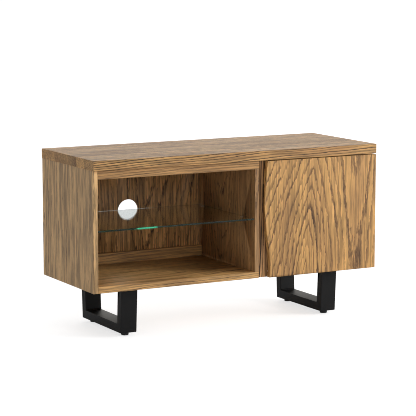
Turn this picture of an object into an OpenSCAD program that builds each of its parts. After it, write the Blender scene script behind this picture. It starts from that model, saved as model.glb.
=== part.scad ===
/*
  TV stand: a solid oak top board on two boxes, an open bay with a glass shelf
  and a cupboard with one live-edge door, carried by two steel runner frames.
  Millimetres. X runs along the stand, -Y is the front, +Z is up.
  The origin is on the floor, under the middle of the top board.
*/

/* [Top board] */
// Length of the top board
top_w = 1100; // [960:5:1340]
// Depth of the top board, front to back
top_d = 428; // [350:2:520]
// Thickness of the top board
top_t = 34; // [25:1:45]
// How far the top board reaches past each side panel
side_overhang = 2; // [1:0.5:20]

/* [Boxes] */
// Height of both boxes, from their underside to the top board
box_h = 409; // [330:1:500]
// Thickness of the side panels
side_t = 18; // [16:1:24]
// Thickness of the bay's inner side
partition_t = 16; // [15:1:24]
// Thickness of the bottom boards
floor_t = 22; // [18:1:30]
// Thickness of the back panels
back_t = 8; // [5:1:12]
// Height of the upper rails
rail_h = 30; // [28:1:50]
// Thickness of every rail and of the front post, front to back
rail_t = 18; // [16:1:24]
// Height of the lower back rails
lower_rail_h = 38; // [30:1:60]
// Dark gap between the two boxes
box_gap = 6; // [4:0.5:12]

/* [Open bay] */
// Clear width of the open bay
bay_w = 594; // [430:2:620]
// Front of the bay, behind the front edge of the top board
bay_setback = 14; // [4:1:30]
// Diameter of the cable hole
cable_hole_d = 80; // [50:1:110]
// Middle of the cable hole, above the underside of the box
cable_hole_z = 204; // [150:1:230]
// Middle of the cable hole, right of the middle of the bay
cable_hole_shift = 10; // [-60:1:60]
// Thickness of the glass shelf
glass_t = 6; // [5:1:10]
// Underside of the glass shelf, above the bottom board
glass_z = 181; // [120:1:230]
// Front edge of the glass, behind the front of the bay
glass_setback = 5; // [2:1:40]
// Gap at each end and at the back of the glass
glass_gap = 1.5; // [1:0.5:4]

/* [Cupboard] */
// Width of the front post
post_w = 40; // [34:1:60]
// Thickness of the wooden shelf
shelf_t = 18; // [16:1:24]
// Underside of the wooden shelf, above the bottom board
shelf_z = 172; // [120:1:220]
// Front edge of the wooden shelf, behind the front post
shelf_setback = 12; // [4:1:60]
// Gap at each end and at the back of the wooden shelf
shelf_gap = 1.5; // [1:0.5:4]

/* [Shelf pins] */
// Diameter of the shank in the panel
pin_d = 5; // [4:0.5:6]
// Depth of the shank in the panel
pin_depth = 9; // [7:0.5:11]
// Diameter of the part that carries the shelf
pin_head_d = 7; // [6:0.5:9]
// How far a pin stands out of the panel
pin_reach = 9; // [6:0.5:14]
// Front pins, behind the front of the bay or of the cupboard's side
pin_front_in = 86; // [50:1:130]
// Rear pins, in front of the back panel
pin_back_in = 34; // [30:1:90]

/* [Door] */
// Thickness of the door
door_t = 18; // [18:0.5:22]
// Door front, behind the front edge of the top board
door_setback = 1.5; // [0.5:0.5:6]
// Gap between the door's back and the cupboard
door_gap = 3; // [3:0.5:5]
// Gap between the door and the top board
door_top_gap = 3; // [3:0.5:8]
// Door edge, inside the end of the top board
door_end_gap = 0.5; // [0.5:0.5:4]
// How much of the post shows beside the widest part of the door
post_reveal = 10; // [6:0.5:14]
// How far the live edge wanders
edge_depth = 22; // [8:0.5:24]
// Radius of the finger cove behind the live edge
cove_r = 11; // [8:0.5:12]

/* [Hinges] */
// Hinges, in from the door's bottom and top
hinge_in = 80; // [60:1:110]
// Hinge pin, in from the door's right edge
pivot_in = 9.2; // [9:0.1:9.3]
// Hinge pin, in from the door's back
pivot_deep = 9.3; // [9:0.1:9.6]
// Diameter of the cup
cup_d = 35; // [35:0.5:36]
// Depth of the cup
cup_depth = 13; // [12.8:0.1:13.2]
// Wood left between the cup and the door's edge
cup_tab = 3.5; // [3:0.1:4]
// Wall of the cup
cup_wall = 1; // [0.8:0.1:1.2]
// Diameter of the hinge pin
hinge_pin_d = 2.6; // [2.4:0.1:2.8]
// Running clearance around the hinge pin
pin_run = 0.05; // [0.03:0.01:0.1]

/* [Runner frames] */
// Height of a frame, without its glides
frame_h = 155; // [110:1:260]
// Width of the steel tube
tube_w = 60; // [50:1:80]
// Thickness of the steel tube
tube_t = 30; // [25:1:40]
// Wall of the steel tube
tube_wall = 2; // [1.5:0.5:3]
// Thickness of the mounting plate
plate_t = 5; // [4:0.5:8]
// Frame, in from the outside of the boxes
frame_side_in = 123; // [60:1:180]
// Frame, in from the front and the back of the bay
frame_end_in = 45; // [20:1:80]
// How far each post leans in at its foot
frame_lean = 8; // [0:1:30]

/* [Glides] */
// Height of a glide under the tube
glide_h = 12; // [8:1:20]
// Diameter of a glide
glide_d = 26; // [20:1:40]
// Glide, in from the end of the lower tube
glide_in = 30; // [24:1:60]
// Diameter of the glide's threaded stem
stem_d = 8; // [6:1:10]
// Length of the stem above the glide
stem_l = 24; // [20:1:24]

/* [Fasteners] */
// Diameter of the wooden dowels
dowel_d = 8; // [6:1:8]
// Length of the wooden dowels
dowel_l = 30; // [26:1:32]
// Diameter of the bolts that hold the frames
bolt_d = 6; // [5:1:8]
// Distance between two bolts across the frame
bolt_across = 36; // [30:1:44]
// Bolts, in from the end of the mounting plate
bolt_in = 62; // [48:1:90]
// Diameter of the screws into the top board
top_screw_d = 5; // [4:0.5:6]
// Clearance around fasteners
fit_gap = 0.1; // [0.05:0.05:0.3]

/* [Hidden] */
$fn = 48;
EPS = 0.01;

// Frame of reference
x_end = top_w / 2;
y_front = -top_d / 2;
y_back = top_d / 2;
z_box = glide_h + frame_h;
z_top = z_box + box_h;
y_bay = y_front + bay_setback;
y_door = y_front + door_setback;
y_door_back = y_door + door_t;
y_cup = y_door_back + door_gap;
y_panel = y_back - back_t;

// Open bay
x_left = -x_end + side_overhang;
x_bay = x_left + side_t;
x_bay_end = x_bay + bay_w;
x_part_end = x_bay_end + partition_t;
z_floor = z_box + floor_t;
z_rail = z_top - rail_h;
z_glass = z_floor + glass_z;
x_hole = (x_bay + x_bay_end) / 2 + cable_hole_shift;
z_hole = z_box + cable_hole_z;

// Cupboard
x_cup = x_part_end + box_gap;
x_post_end = x_cup + post_w;
x_cup_in = x_cup + side_t;
x_right = x_end - side_overhang;
x_right_in = x_right - side_t;
y_post_back = y_cup + rail_t;
z_shelf = z_floor + shelf_z;

// Door: the live edge is a smooth curve through [share of height, share of depth]
LIVE_EDGE = [[0, 0.89], [0.1, 1], [0.25, 0.75], [0.4, 0.3], [0.6, 0], [0.82, 0.16], [1, 0.45]];
EDGE_STEPS = 8;
door_h = box_h - door_top_gap;
x_door = x_cup + post_reveal;
x_door_end = x_end - door_end_gap;
back_round = 4;
cove_low = 0.42;
cove_high = 0.78;

// Hinges
x_pivot = x_door_end - pivot_in;
y_pivot = y_door_back - pivot_deep;
cup_r = cup_d / 2;
x_cup_bore = x_door_end - cup_tab - cup_r;
HINGE_Z = [z_box + hinge_in, z_box + door_h - hinge_in];
flange_t = 1.2;
flange_half = 28;
flange_back = 16;
flange_front = 10;
cup_screw_z = 23;
cup_screw_x = 9.5;
cup_screw_l = 13;
knuckle_r = 2.4;
arm_half = 3.5;
arm_strap = 1.8;
arm_drop = 21;
arm_body_w = 10;
arm_body_half = 6;
arm_body_l = 48;
mount_t = 4;
mount_half = 22;
mount_in = 20;
mount_l = 16;
mount_screw_z = 16;
mount_screw_l = 16;
small_screw_d = 3.5;
small_head_d = 7;
small_head_h = 2;

// Catch and bumpers
catch_w = 46;
catch_d = 15;
catch_h = 12;
catch_ear = 9;
catch_ear_t = 3;
catch_in = 40;
strike_t = 1.2;
strike_w = 40;
strike_h = 11;
magnet_gap = 0.4;
bumper_d = 8;
bumper_gap = 0.3;
bumper_in = 20;
catch_screw_l = 13;
strike_screw_l = 12;
x_catch = x_post_end + catch_in + catch_w / 2;
z_catch = z_rail - catch_h;
y_catch = y_door_back + strike_t + magnet_gap;

// Runner frames
frame_l = top_d - bay_setback - 2 * frame_end_in;
y_frame = y_bay + frame_end_in;
post_h = frame_h - plate_t;
FRAME_X = [x_left + frame_side_in, x_right - frame_side_in - tube_w];
GLIDE_Y = [y_frame + frame_lean + glide_in, y_frame + frame_l - frame_lean - glide_in];
nut_d = stem_d + 4;
nut_h = 14;
insert_d = bolt_d + 3;
insert_h = 12;
bolt_head_d = 11;
bolt_head_h = 3.5;
BOLT_Y = [y_frame + bolt_in, y_frame + frame_l - bolt_in];

// Dowels: [where the joint face is, direction, how deep it goes on the far side]
dowel_end_in = 40;
dowel_side = 11;
y_rail_mid = y_bay + rail_t / 2;
y_cup_rail_mid = y_cup + rail_t / 2;
y_back_rail = y_panel - rail_t;
y_back_rail_mid = y_panel - rail_t / 2;
z_rail_mid = z_top - rail_h / 2;
z_low_mid = z_floor + lower_rail_h / 2;
z_floor_mid = z_box + floor_t / 2;
y_cup_mid = (y_post_back + y_back) / 2;
y_bay_mid = (y_bay + y_back) / 2;
PAIR = [-7, 7];
BAY_Y = [y_bay + dowel_end_in, y_bay_mid, y_back - dowel_end_in];
CUP_Y = [y_post_back + dowel_end_in, y_cup_mid, y_back - dowel_end_in];
BAY_DOWELS_X = concat(
    [for (y = BAY_Y) [x_bay, y, z_floor_mid]],
    [for (y = [y_rail_mid, y_back_rail_mid], s = PAIR) [x_bay, y, z_rail_mid + s]],
    [for (s = PAIR) [x_bay, y_back_rail_mid, z_low_mid + s]]);
BAY_DOWELS_PART = [for (s = PAIR) [x_bay_end, y_back_rail_mid, z_low_mid + s]];
x_part_mid = x_bay_end + partition_t / 2;
BAY_DOWELS_Z = concat(
    [for (y = BAY_Y) [x_part_mid, y, z_floor]],
    [for (y = [y_rail_mid, y_back_rail_mid]) [x_part_mid, y, z_rail]]);
CUP_DOWELS_LEFT = concat(
    [for (y = CUP_Y) [x_cup_in, y, z_floor_mid]],
    [for (z = [z_rail_mid, z_low_mid], s = PAIR) [x_cup_in, y_back_rail_mid, z + s]]);
CUP_DOWELS_POST = [for (s = PAIR) [x_post_end, y_cup_rail_mid, z_rail_mid + s]];
CUP_DOWELS_RIGHT = concat(
    [for (y = CUP_Y) [x_right_in, y, z_floor_mid]],
    [for (z = [z_rail_mid, z_low_mid], s = PAIR) [x_right_in, y_back_rail_mid, z + s]],
    [for (s = PAIR) [x_right_in, y_cup_rail_mid, z_rail_mid + s]]);
CUP_DOWELS_Y = [for (k = [0.1, 0.37, 0.63, 0.9]) [x_cup + side_t / 2, y_post_back, z_box + k * box_h]];

// Screws
top_screw_bite = 24;
top_screw_sink = 8;
top_head_d = 10;
top_head_h = 3;
BAY_TOP_SCREWS = [for (k = [1/6, 1/2, 5/6], y = [y_rail_mid, y_back_rail_mid])
    [x_bay + k * bay_w, y, z_rail]];
cup_in_w = x_right_in - x_post_end;
CUP_TOP_SCREWS = [for (k = [0.4, 0.85], y = [y_cup_rail_mid, y_back_rail_mid])
    [x_post_end + k * cup_in_w, y, z_rail]];
back_screw_l = 20;
BACK_SCREW_Z = [z_low_mid, z_rail_mid];
BAY_BACK_SCREWS = [for (k = [1/8, 3/8, 5/8, 7/8], z = BACK_SCREW_Z) [x_bay + k * bay_w, y_back, z]];
CUP_BACK_SCREWS = [for (k = [0.12, 0.5, 0.96], z = BACK_SCREW_Z) [x_post_end + k * cup_in_w, y_back, z]];
tie_bite = 10;
tie_screw_l = side_t + box_gap + tie_bite;
spacer_d = 16;
TIE_POINTS = [for (y = [y_post_back + 30, y_panel - 60], z = [z_floor + 30, z_rail - 30]) [x_cup_in, y, z]];

// Shelf pins
BAY_PIN_Y = [y_bay + pin_front_in, y_panel - pin_back_in];
CUP_PIN_Y = [y_post_back + pin_front_in - rail_t, y_panel - pin_back_in];
collar_d = pin_head_d + 3;
collar_t = 1.5;

// ---- Shared shapes ----

// A board between two opposite corners
module board(low, high) {
    translate(low)
        cube(high - low);
}

// A round rod along X, Y or Z, from a point, for a length that may be negative
module rod(p, axis, l, r) {
    turn = axis == "x" ? [0, l > 0 ? 90 : -90, 0]
        : axis == "y" ? [l > 0 ? -90 : 90, 0, 0]
        : [l > 0 ? 0 : 180, 0, 0];
    translate(p)
        rotate(turn)
            cylinder(h = abs(l), r = r);
}

// A countersunk screw: its head's flat face is at p and it points along the axis
module sunk_screw(p, axis, l, d, head_d, head_h, extra = 0) {
    side = l > 0 ? 1 : -1;
    turn = axis == "x" ? [0, 90 * side, 0] : axis == "y" ? [-90 * side, 0, 0] : [side > 0 ? 0 : 180, 0, 0];
    translate(p)
        rotate(turn) {
            translate([0, 0, -extra])
                cylinder(h = abs(l) + 2 * extra, d = d + 2 * extra);
            cylinder(h = head_h, d1 = head_d + 2 * extra, d2 = d + 2 * extra);
            if (extra > 0)
                translate([0, 0, -1])
                    cylinder(h = 1 + EPS, d = head_d + 2 * extra);
        }
}

// Dowels through a joint face: depth goes to the low side, the rest to the high side
module dowels(points, axis, depth, extra = 0) {
    low = axis == "x" ? [-depth - 10 * extra, 0, 0]
        : axis == "y" ? [0, -depth - 10 * extra, 0]
        : [0, 0, -depth - 10 * extra];
    for (p = points)
        rod(p + low, axis, dowel_l + 20 * extra, dowel_d / 2 + extra);
}

module bay_dowels(extra = 0) {
    dowels(BAY_DOWELS_X, "x", dowel_side, extra);
    dowels(BAY_DOWELS_PART, "x", dowel_l - dowel_side, extra);
    dowels(BAY_DOWELS_Z, "z", dowel_side, extra);
}

module cup_dowels(extra = 0) {
    dowels(CUP_DOWELS_LEFT, "x", dowel_side, extra);
    dowels(CUP_DOWELS_POST, "x", dowel_l / 2, extra);
    dowels(CUP_DOWELS_RIGHT, "x", dowel_l - dowel_side, extra);
    dowels(CUP_DOWELS_Y, "y", dowel_side, extra);
}

// ---- Top board and its screws ----

// A screw up through a rail into the top board
module top_screw(p, extra = 0) {
    head = p + [0, 0, top_screw_sink];
    reach = rail_h - top_screw_sink + top_screw_bite;
    rod(head - [0, 0, extra], "z", reach + 2 * extra, top_screw_d / 2 + extra);
    rod(head - [0, 0, extra], "z", top_head_h + extra, top_head_d / 2 + extra);
    if (extra > 0)
        rod(p - [0, 0, 1], "z", top_screw_sink + 1 + EPS, top_head_d / 2 + extra);
}

module all_top_screws(extra = 0) {
    for (p = concat(BAY_TOP_SCREWS, CUP_TOP_SCREWS))
        top_screw(p, extra);
}

module top_board() {
    color("burlywood")
        difference() {
            board([-x_end, y_front, z_top], [x_end, y_back, z_top + top_t]);
            all_top_screws(fit_gap);
        }
}

module top_screws() {
    color("silver")
        all_top_screws();
}

// ---- Shelf pins ----

// The shank and collar of one pin, on a panel face at p, with the shelf side towards dir
module shelf_pin(p, dir) {
    rod(p - [dir * pin_depth, 0, 0], "x", dir * (pin_depth + pin_reach), pin_d / 2);
    rod(p, "x", dir * collar_t, collar_d / 2);
    rod(p, "x", dir * pin_reach, pin_head_d / 2);
}

// All the pins of one shelf, whose underside is at z
module shelf_pins(x_low, x_high, ys, z) {
    for (y = ys) {
        shelf_pin([x_low, y, z - pin_head_d / 2], 1);
        shelf_pin([x_high, y, z - pin_head_d / 2], -1);
    }
}

module pin_holes(x_face, dir, ys, z) {
    for (y = ys)
        rod([x_face + dir, y, z - pin_head_d / 2], "x", -dir * (pin_depth + 1.5), pin_d / 2 + fit_gap);
}

// The collar is wider than the head, so it is notched where the shelf's end rests beside it
module glass_shelf_pins() {
    color("silver")
        difference() {
            shelf_pins(x_bay, x_bay_end, BAY_PIN_Y, z_glass);
            shelf_room(x_bay, x_bay_end, y_bay, z_glass, glass_t);
        }
}

module cupboard_shelf_pins() {
    color("silver")
        difference() {
            shelf_pins(x_cup_in, x_right_in, CUP_PIN_Y, z_shelf);
            shelf_room(x_cup_in, x_right_in, y_cup, z_shelf, shelf_t);
        }
}

// The space over a shelf's underside, between the panels
module shelf_room(x_low, x_high, y_low, z, t) {
    board([x_low + EPS, y_low, z], [x_high - EPS, y_panel, z + t]);
}

// ---- Open bay ----

module bay_left_side() {
    color("tan")
        difference() {
            board([x_left, y_bay, z_box], [x_bay, y_back, z_top]);
            bay_dowels(fit_gap);
            pin_holes(x_bay, 1, BAY_PIN_Y, z_glass);
        }
}

// The inner side stands on the bottom board and is notched for both upper rails
module bay_partition() {
    color("tan")
        difference() {
            board([x_bay_end, y_bay, z_floor], [x_part_end, y_back, z_top]);
            board([x_bay_end - 1, y_bay - 1, z_rail], [x_part_end + 1, y_bay + rail_t, z_top + 1]);
            board([x_bay_end - 1, y_back_rail, z_rail], [x_part_end + 1, y_panel, z_top + 1]);
            bay_dowels(fit_gap);
            pin_holes(x_bay_end, -1, BAY_PIN_Y, z_glass);
            tie_set(fit_gap);
        }
}

module bay_bottom_board() {
    color("tan")
        difference() {
            board([x_bay, y_bay, z_box], [x_part_end, y_back, z_floor]);
            bay_dowels(fit_gap);
            frame_insert_set(insert_d / 2 + fit_gap, insert_h + 1);
        }
}

module bay_top_front_rail() {
    color("tan")
        difference() {
            board([x_bay, y_bay, z_rail], [x_part_end, y_bay + rail_t, z_top]);
            bay_dowels(fit_gap);
            all_top_screws(fit_gap);
        }
}

module bay_top_back_rail() {
    color("tan")
        difference() {
            board([x_bay, y_back_rail, z_rail], [x_part_end, y_panel, z_top]);
            bay_dowels(fit_gap);
            all_top_screws(fit_gap);
            back_screw_set(fit_gap);
        }
}

module bay_lower_back_rail() {
    color("tan")
        difference() {
            board([x_bay, y_back_rail, z_floor], [x_bay_end, y_panel, z_floor + lower_rail_h]);
            bay_dowels(fit_gap);
            back_screw_set(fit_gap);
        }
}

module bay_back_panel() {
    color("peru")
        difference() {
            board([x_bay, y_panel, z_floor], [x_bay_end, y_back, z_top]);
            rod([x_hole, y_panel - 1, z_hole], "y", back_t + 2, cable_hole_d / 2);
            back_screw_set(fit_gap);
        }
}

module glass_shelf() {
    color("teal", 0.5)
        board([x_bay + glass_gap, y_bay + glass_setback, z_glass],
            [x_bay_end - glass_gap, y_panel - glass_gap, z_glass + glass_t]);
}

// ---- Cupboard ----

module cupboard_left_side() {
    color("tan")
        difference() {
            board([x_cup, y_post_back, z_box], [x_cup_in, y_back, z_top]);
            cup_dowels(fit_gap);
            pin_holes(x_cup_in, 1, CUP_PIN_Y, z_shelf);
            tie_set(fit_gap);
        }
}

// The post covers the front edge of the left side and closes the cupboard behind the live edge
module cupboard_front_post() {
    color("tan")
        difference() {
            board([x_cup, y_cup, z_box], [x_post_end, y_post_back, z_top]);
            cup_dowels(fit_gap);
        }
}

module cupboard_right_side() {
    color("tan")
        difference() {
            board([x_right_in, y_cup, z_box], [x_right, y_back, z_top]);
            cup_dowels(fit_gap);
            pin_holes(x_right_in, -1, CUP_PIN_Y, z_shelf);
            plate_screw_set(fit_gap);
        }
}

// The bottom board is notched around the foot of the post
module cupboard_bottom_board() {
    color("tan")
        difference() {
            board([x_cup_in, y_cup, z_box], [x_right_in, y_back, z_floor]);
            board([x_cup_in - 1, y_cup - 1, z_box - 1], [x_post_end, y_post_back, z_floor + 1]);
            cup_dowels(fit_gap);
            frame_insert_set(insert_d / 2 + fit_gap, insert_h + 1);
        }
}

module cupboard_top_front_rail() {
    color("tan")
        difference() {
            board([x_post_end, y_cup, z_rail], [x_right_in, y_post_back, z_top]);
            cup_dowels(fit_gap);
            all_top_screws(fit_gap);
            catch_screw_set(fit_gap);
        }
}

module cupboard_top_back_rail() {
    color("tan")
        difference() {
            board([x_cup_in, y_back_rail, z_rail], [x_right_in, y_panel, z_top]);
            cup_dowels(fit_gap);
            all_top_screws(fit_gap);
            back_screw_set(fit_gap);
        }
}

module cupboard_lower_back_rail() {
    color("tan")
        difference() {
            board([x_cup_in, y_back_rail, z_floor], [x_right_in, y_panel, z_floor + lower_rail_h]);
            cup_dowels(fit_gap);
            back_screw_set(fit_gap);
        }
}

module cupboard_back_panel() {
    color("peru")
        difference() {
            board([x_cup_in, y_panel, z_floor], [x_right_in, y_back, z_top]);
            back_screw_set(fit_gap);
        }
}

module cupboard_shelf() {
    color("tan")
        board([x_cup_in + shelf_gap, y_post_back + shelf_setback, z_shelf],
            [x_right_in - shelf_gap, y_panel - shelf_gap, z_shelf + shelf_t]);
}

// ---- Door ----

// A smooth curve from b to c, with a and d as its neighbours
function blend(a, b, c, d, t) =
    0.5 * (2 * b + (c - a) * t + (2 * a - 5 * b + 4 * c - d) * t * t + (3 * b - a - 3 * c + d) * t * t * t);

function edge_point(i, t) =
    let (n = len(LIVE_EDGE) - 1)
    blend(LIVE_EDGE[max(i - 1, 0)], LIVE_EDGE[i], LIVE_EDGE[i + 1], LIVE_EDGE[min(i + 2, n)], t);

live_edge = concat(
    [for (i = [0 : len(LIVE_EDGE) - 2], k = [0 : EDGE_STEPS - 1]) edge_point(i, k / EDGE_STEPS)],
    [LIVE_EDGE[len(LIVE_EDGE) - 1]]);

// Where the door's left edge is, at a share of its height
function edge_x(p) = x_door + edge_depth * p[1];

module door_outline() {
    polygon(concat(
        [for (p = live_edge) [edge_x(p), z_box + door_h * p[0]]],
        [[x_door_end, z_box + door_h], [x_door_end, z_box]]));
}

// The hollow behind the live edge, for the fingers
module finger_cove() {
    low = [x_door + 2, y_door_back + 2, z_box + cove_low * door_h];
    high = [x_door + 2, y_door_back + 2, z_box + cove_high * door_h];
    rod(low, "z", high[2] - low[2], cove_r);
    translate(low)
        sphere(r = cove_r);
    translate(high)
        sphere(r = cove_r);
}

// What rounding the door's back edge on the hinge side takes away
module back_edge_waste() {
    corner = [x_door_end - back_round, y_door_back - back_round, z_box - 1];
    difference() {
        board(corner, [x_door_end + 1, y_door_back + 1, z_box + door_h + 1]);
        rod(corner - [0, 0, 1], "z", door_h + 4, back_round);
    }
}

module door() {
    color("burlywood")
        difference() {
            translate([0, y_door_back, 0])
                rotate([90, 0, 0])
                    linear_extrude(door_t)
                        door_outline();
            finger_cove();
            back_edge_waste();
            for (z = HINGE_Z)
                rod([x_cup_bore, y_door_back + 1, z], "y", -cup_depth - 1, cup_r);
            cup_screw_set(fit_gap);
            strike_screw_set(fit_gap);
        }
}

// ---- Hinges: a cup in the door, a pin across it, and an arm on a plate in the cupboard ----

module hinge_cup(z) {
    flange_low = [x_cup_bore - flange_back, y_door_back, z - flange_half];
    flange_high = [x_cup_bore + flange_front, y_door_back + flange_t, z + flange_half];
    color("gainsboro")
        difference() {
            union() {
                rod([x_cup_bore, y_door_back, z], "y", fit_gap - cup_depth, cup_r - fit_gap);
                rod([x_cup_bore, y_door_back, z], "y", flange_t, cup_r - fit_gap);
                board(flange_low, flange_high);
            }
            rod([x_cup_bore, y_door_back + flange_t + 1, z], "y",
                cup_wall - cup_depth - flange_t - 1, cup_r - fit_gap - cup_wall);
            rod([x_pivot, y_pivot, z - cup_r], "z", cup_d, hinge_pin_d / 2 + 0.02);
            cup_screw_set(fit_gap);
        }
}

// Half the length of the pin: its end is inside the wall of the cup
pin_half = sqrt(pow(cup_r - fit_gap, 2) - pow(x_pivot + hinge_pin_d / 2 - x_cup_bore, 2)) - cup_wall / 4;

module hinge_pins() {
    color("silver")
        for (z = HINGE_Z)
            rod([x_pivot, y_pivot, z - pin_half], "z", 2 * pin_half, hinge_pin_d / 2);
}

// The arm goes into the cup, turns to the pin, and runs back beside the panel
module hinge_arm(z) {
    x_strap = x_pivot - arm_drop;
    x_body = x_right_in - mount_t - arm_body_w;
    y_body = y_cup + 10;
    color("silver")
        difference() {
            union() {
                rod([x_pivot, y_pivot, z - arm_half], "z", 2 * arm_half, knuckle_r);
                board([x_strap, y_pivot - arm_strap / 2, z - arm_half],
                    [x_pivot, y_pivot + arm_strap / 2, z + arm_half]);
                board([x_strap, y_pivot - arm_strap / 2, z - arm_half],
                    [x_strap + arm_strap + 1, y_body + 1, z + arm_half]);
                board([x_body, y_body, z - arm_body_half],
                    [x_body + arm_body_w, y_body + arm_body_l, z + arm_body_half]);
            }
            rod([x_pivot, y_pivot, z - arm_half - 1], "z", 2 * arm_half + 2, hinge_pin_d / 2 + pin_run);
            rod([x_body - 1, y_body + arm_body_l - 9, z], "x", 7, 2.6);
            rod([x_body - 1, y_body + 12, z], "x", 5, 2.6);
        }
}

// The mounting plate is screwed to the side panel, above and below the arm
module hinge_plate(z) {
    y_plate = y_cup + mount_in;
    color("silver")
        difference() {
            union() {
                board([x_right_in - mount_t, y_cup + 12, z - arm_body_half],
                    [x_right_in, y_cup + 12 + arm_body_l - 4, z + arm_body_half]);
                board([x_right_in - mount_t / 2, y_plate, z - mount_half],
                    [x_right_in, y_plate + mount_l, z + mount_half]);
            }
            plate_screw_set(fit_gap);
        }
}

module cup_screw_set(extra = 0) {
    for (z = HINGE_Z, s = [-cup_screw_z, cup_screw_z])
        sunk_screw([x_cup_bore - cup_screw_x, y_door_back + flange_t, z + s], "y",
            -cup_screw_l, small_screw_d, small_head_d, small_head_h, extra);
}

module plate_screw_set(extra = 0) {
    for (z = HINGE_Z, s = [-mount_screw_z, mount_screw_z])
        sunk_screw([x_right_in - mount_t / 2, y_cup + mount_in + mount_l / 2, z + s], "x",
            mount_screw_l, small_screw_d, small_head_d, small_head_h, extra);
}

module hinge_cup_screws() {
    color("silver")
        cup_screw_set();
}

module hinge_plate_screws() {
    color("silver")
        plate_screw_set();
}

// ---- Magnetic catch, strike plate and bumpers ----

module magnetic_catch() {
    color("saddlebrown")
        difference() {
            union() {
                board([x_catch - catch_w / 2 + catch_ear, y_catch, z_catch],
                    [x_catch + catch_w / 2 - catch_ear, y_catch + catch_d, z_rail]);
                board([x_catch - catch_w / 2, y_catch + 2, z_rail - catch_ear_t],
                    [x_catch + catch_w / 2, y_catch + catch_d, z_rail]);
            }
            catch_screw_set(fit_gap);
        }
}

module catch_screw_set(extra = 0) {
    for (s = [-1, 1])
        sunk_screw([x_catch + s * (catch_w - catch_ear) / 2, y_catch + 2 + catch_d / 2, z_rail - catch_ear_t],
            "z", catch_screw_l, small_screw_d, small_head_d, small_head_h, extra);
}

module catch_screws() {
    color("silver")
        catch_screw_set();
}

module strike_plate() {
    z_mid = z_catch + catch_h / 2;
    color("silver")
        difference() {
            board([x_catch - strike_w / 2, y_door_back, z_mid - strike_h / 2],
                [x_catch + strike_w / 2, y_door_back + strike_t, z_mid + strike_h / 2]);
            strike_screw_set(fit_gap);
        }
}

module strike_screw_set(extra = 0) {
    for (s = [-1, 1])
        sunk_screw([x_catch + s * (strike_w / 2 - 6), y_door_back + strike_t, z_catch + catch_h / 2],
            "y", -strike_screw_l, 3, 5.4, 1.1, extra);
}

module strike_screws() {
    color("silver")
        strike_screw_set();
}

// Soft stops on the back of the door, over the post
module door_bumpers() {
    color("gainsboro")
        for (z = [z_box + bumper_in, z_box + door_h - bumper_in])
            rod([x_post_end - bumper_d / 2 - 0.5, y_door_back, z], "y", door_gap - bumper_gap, bumper_d / 2);
}

// ---- Runner frames ----

// How far the outside of a post is in from the top's end, at a height
function lean_at(h) = frame_lean * (1 - h / frame_h);

// The bent tube from the side: a bar and two leaning posts, thinner by w on every side
module runner_profile(w) {
    low = w;
    high = tube_t - w;
    polygon([
        [lean_at(low) + w, low],
        [frame_l - lean_at(low) - w, low],
        [frame_l - lean_at(post_h) - w, post_h],
        [frame_l - lean_at(post_h) - tube_t + w, post_h],
        [frame_l - lean_at(high) - tube_t + w, high],
        [lean_at(high) + tube_t - w, high],
        [lean_at(post_h) + tube_t - w, post_h],
        [lean_at(post_h) + w, post_h]]);
}

// The same profile, as wide as w, on the frame whose outer face starts at x
module runner_body(x, w, shrink) {
    translate([x + (tube_w - w) / 2, y_frame, glide_h])
        rotate([90, 0, 90])
            linear_extrude(w)
                runner_profile(shrink);
}

module runner_frame(x) {
    color("dimgray")
        difference() {
            union() {
                runner_body(x, tube_w, 0);
                board([x, y_frame, z_box - plate_t], [x + tube_w, y_frame + frame_l, z_box]);
            }
            runner_body(x, tube_w - 2 * tube_wall, tube_wall);
            for (y = GLIDE_Y)
                rod([x + tube_w / 2, y, glide_h - 1], "z", tube_wall + 2, nut_d / 2 + fit_gap);
            for (p = bolt_points(x))
                rod(p + [0, 0, -plate_t - 1], "z", plate_t + 2, bolt_d / 2 + 0.3);
        }
}

function bolt_points(x) =
    [for (y = BOLT_Y, s = [-1, 1]) [x + tube_w / 2 + s * bolt_across / 2, y, z_box]];

module frame_insert_set(r, h) {
    for (x = FRAME_X, p = bolt_points(x))
        rod(p - [0, 0, EPS], "z", h + EPS, r);
}

module frame_inserts() {
    color("goldenrod")
        difference() {
            frame_insert_set(insert_d / 2, insert_h);
            frame_insert_set(bolt_d / 2 + fit_gap, insert_h + 1);
            translate([0, 0, -2])
                frame_insert_set(insert_d, 2);
        }
}

module frame_bolts() {
    color("dimgray")
        for (x = FRAME_X, p = bolt_points(x)) {
            rod(p - [0, 0, plate_t], "z", plate_t + insert_h - 1, bolt_d / 2);
            rod(p - [0, 0, plate_t], "z", -bolt_head_h, bolt_head_d / 2);
        }
}

// ---- Levelling glides ----

module glide_nuts() {
    color("silver")
        difference() {
            for (x = FRAME_X, y = GLIDE_Y)
                rod([x + tube_w / 2, y, glide_h], "z", nut_h, nut_d / 2);
            for (x = FRAME_X, y = GLIDE_Y)
                rod([x + tube_w / 2, y, glide_h - 1], "z", nut_h + 2, stem_d / 2 + pin_run);
        }
}

module glide(x, y) {
    chamfer = 1.5;
    foot = glide_h - bumper_gap;
    translate([x + tube_w / 2, y, 0]) {
        color("dimgray")
            rotate_extrude()
                polygon([
                    [0, 0],
                    [glide_d / 2 - chamfer, 0],
                    [glide_d / 2, chamfer],
                    [glide_d / 2, foot - chamfer],
                    [glide_d / 2 - chamfer, foot],
                    [stem_d / 2, foot],
                    [stem_d / 2, foot + stem_l],
                    [0, foot + stem_l]]);
    }
}

// ---- Dowels, back screws and the ties between the boxes ----

module box_dowels() {
    color("wheat") {
        bay_dowels();
        cup_dowels();
    }
}

module back_screw_set(extra = 0) {
    for (p = concat(BAY_BACK_SCREWS, CUP_BACK_SCREWS))
        sunk_screw(p, "y", -back_screw_l, small_screw_d, small_head_d, small_head_h, extra);
}

module back_panel_screws() {
    color("silver")
        back_screw_set();
}

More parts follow.
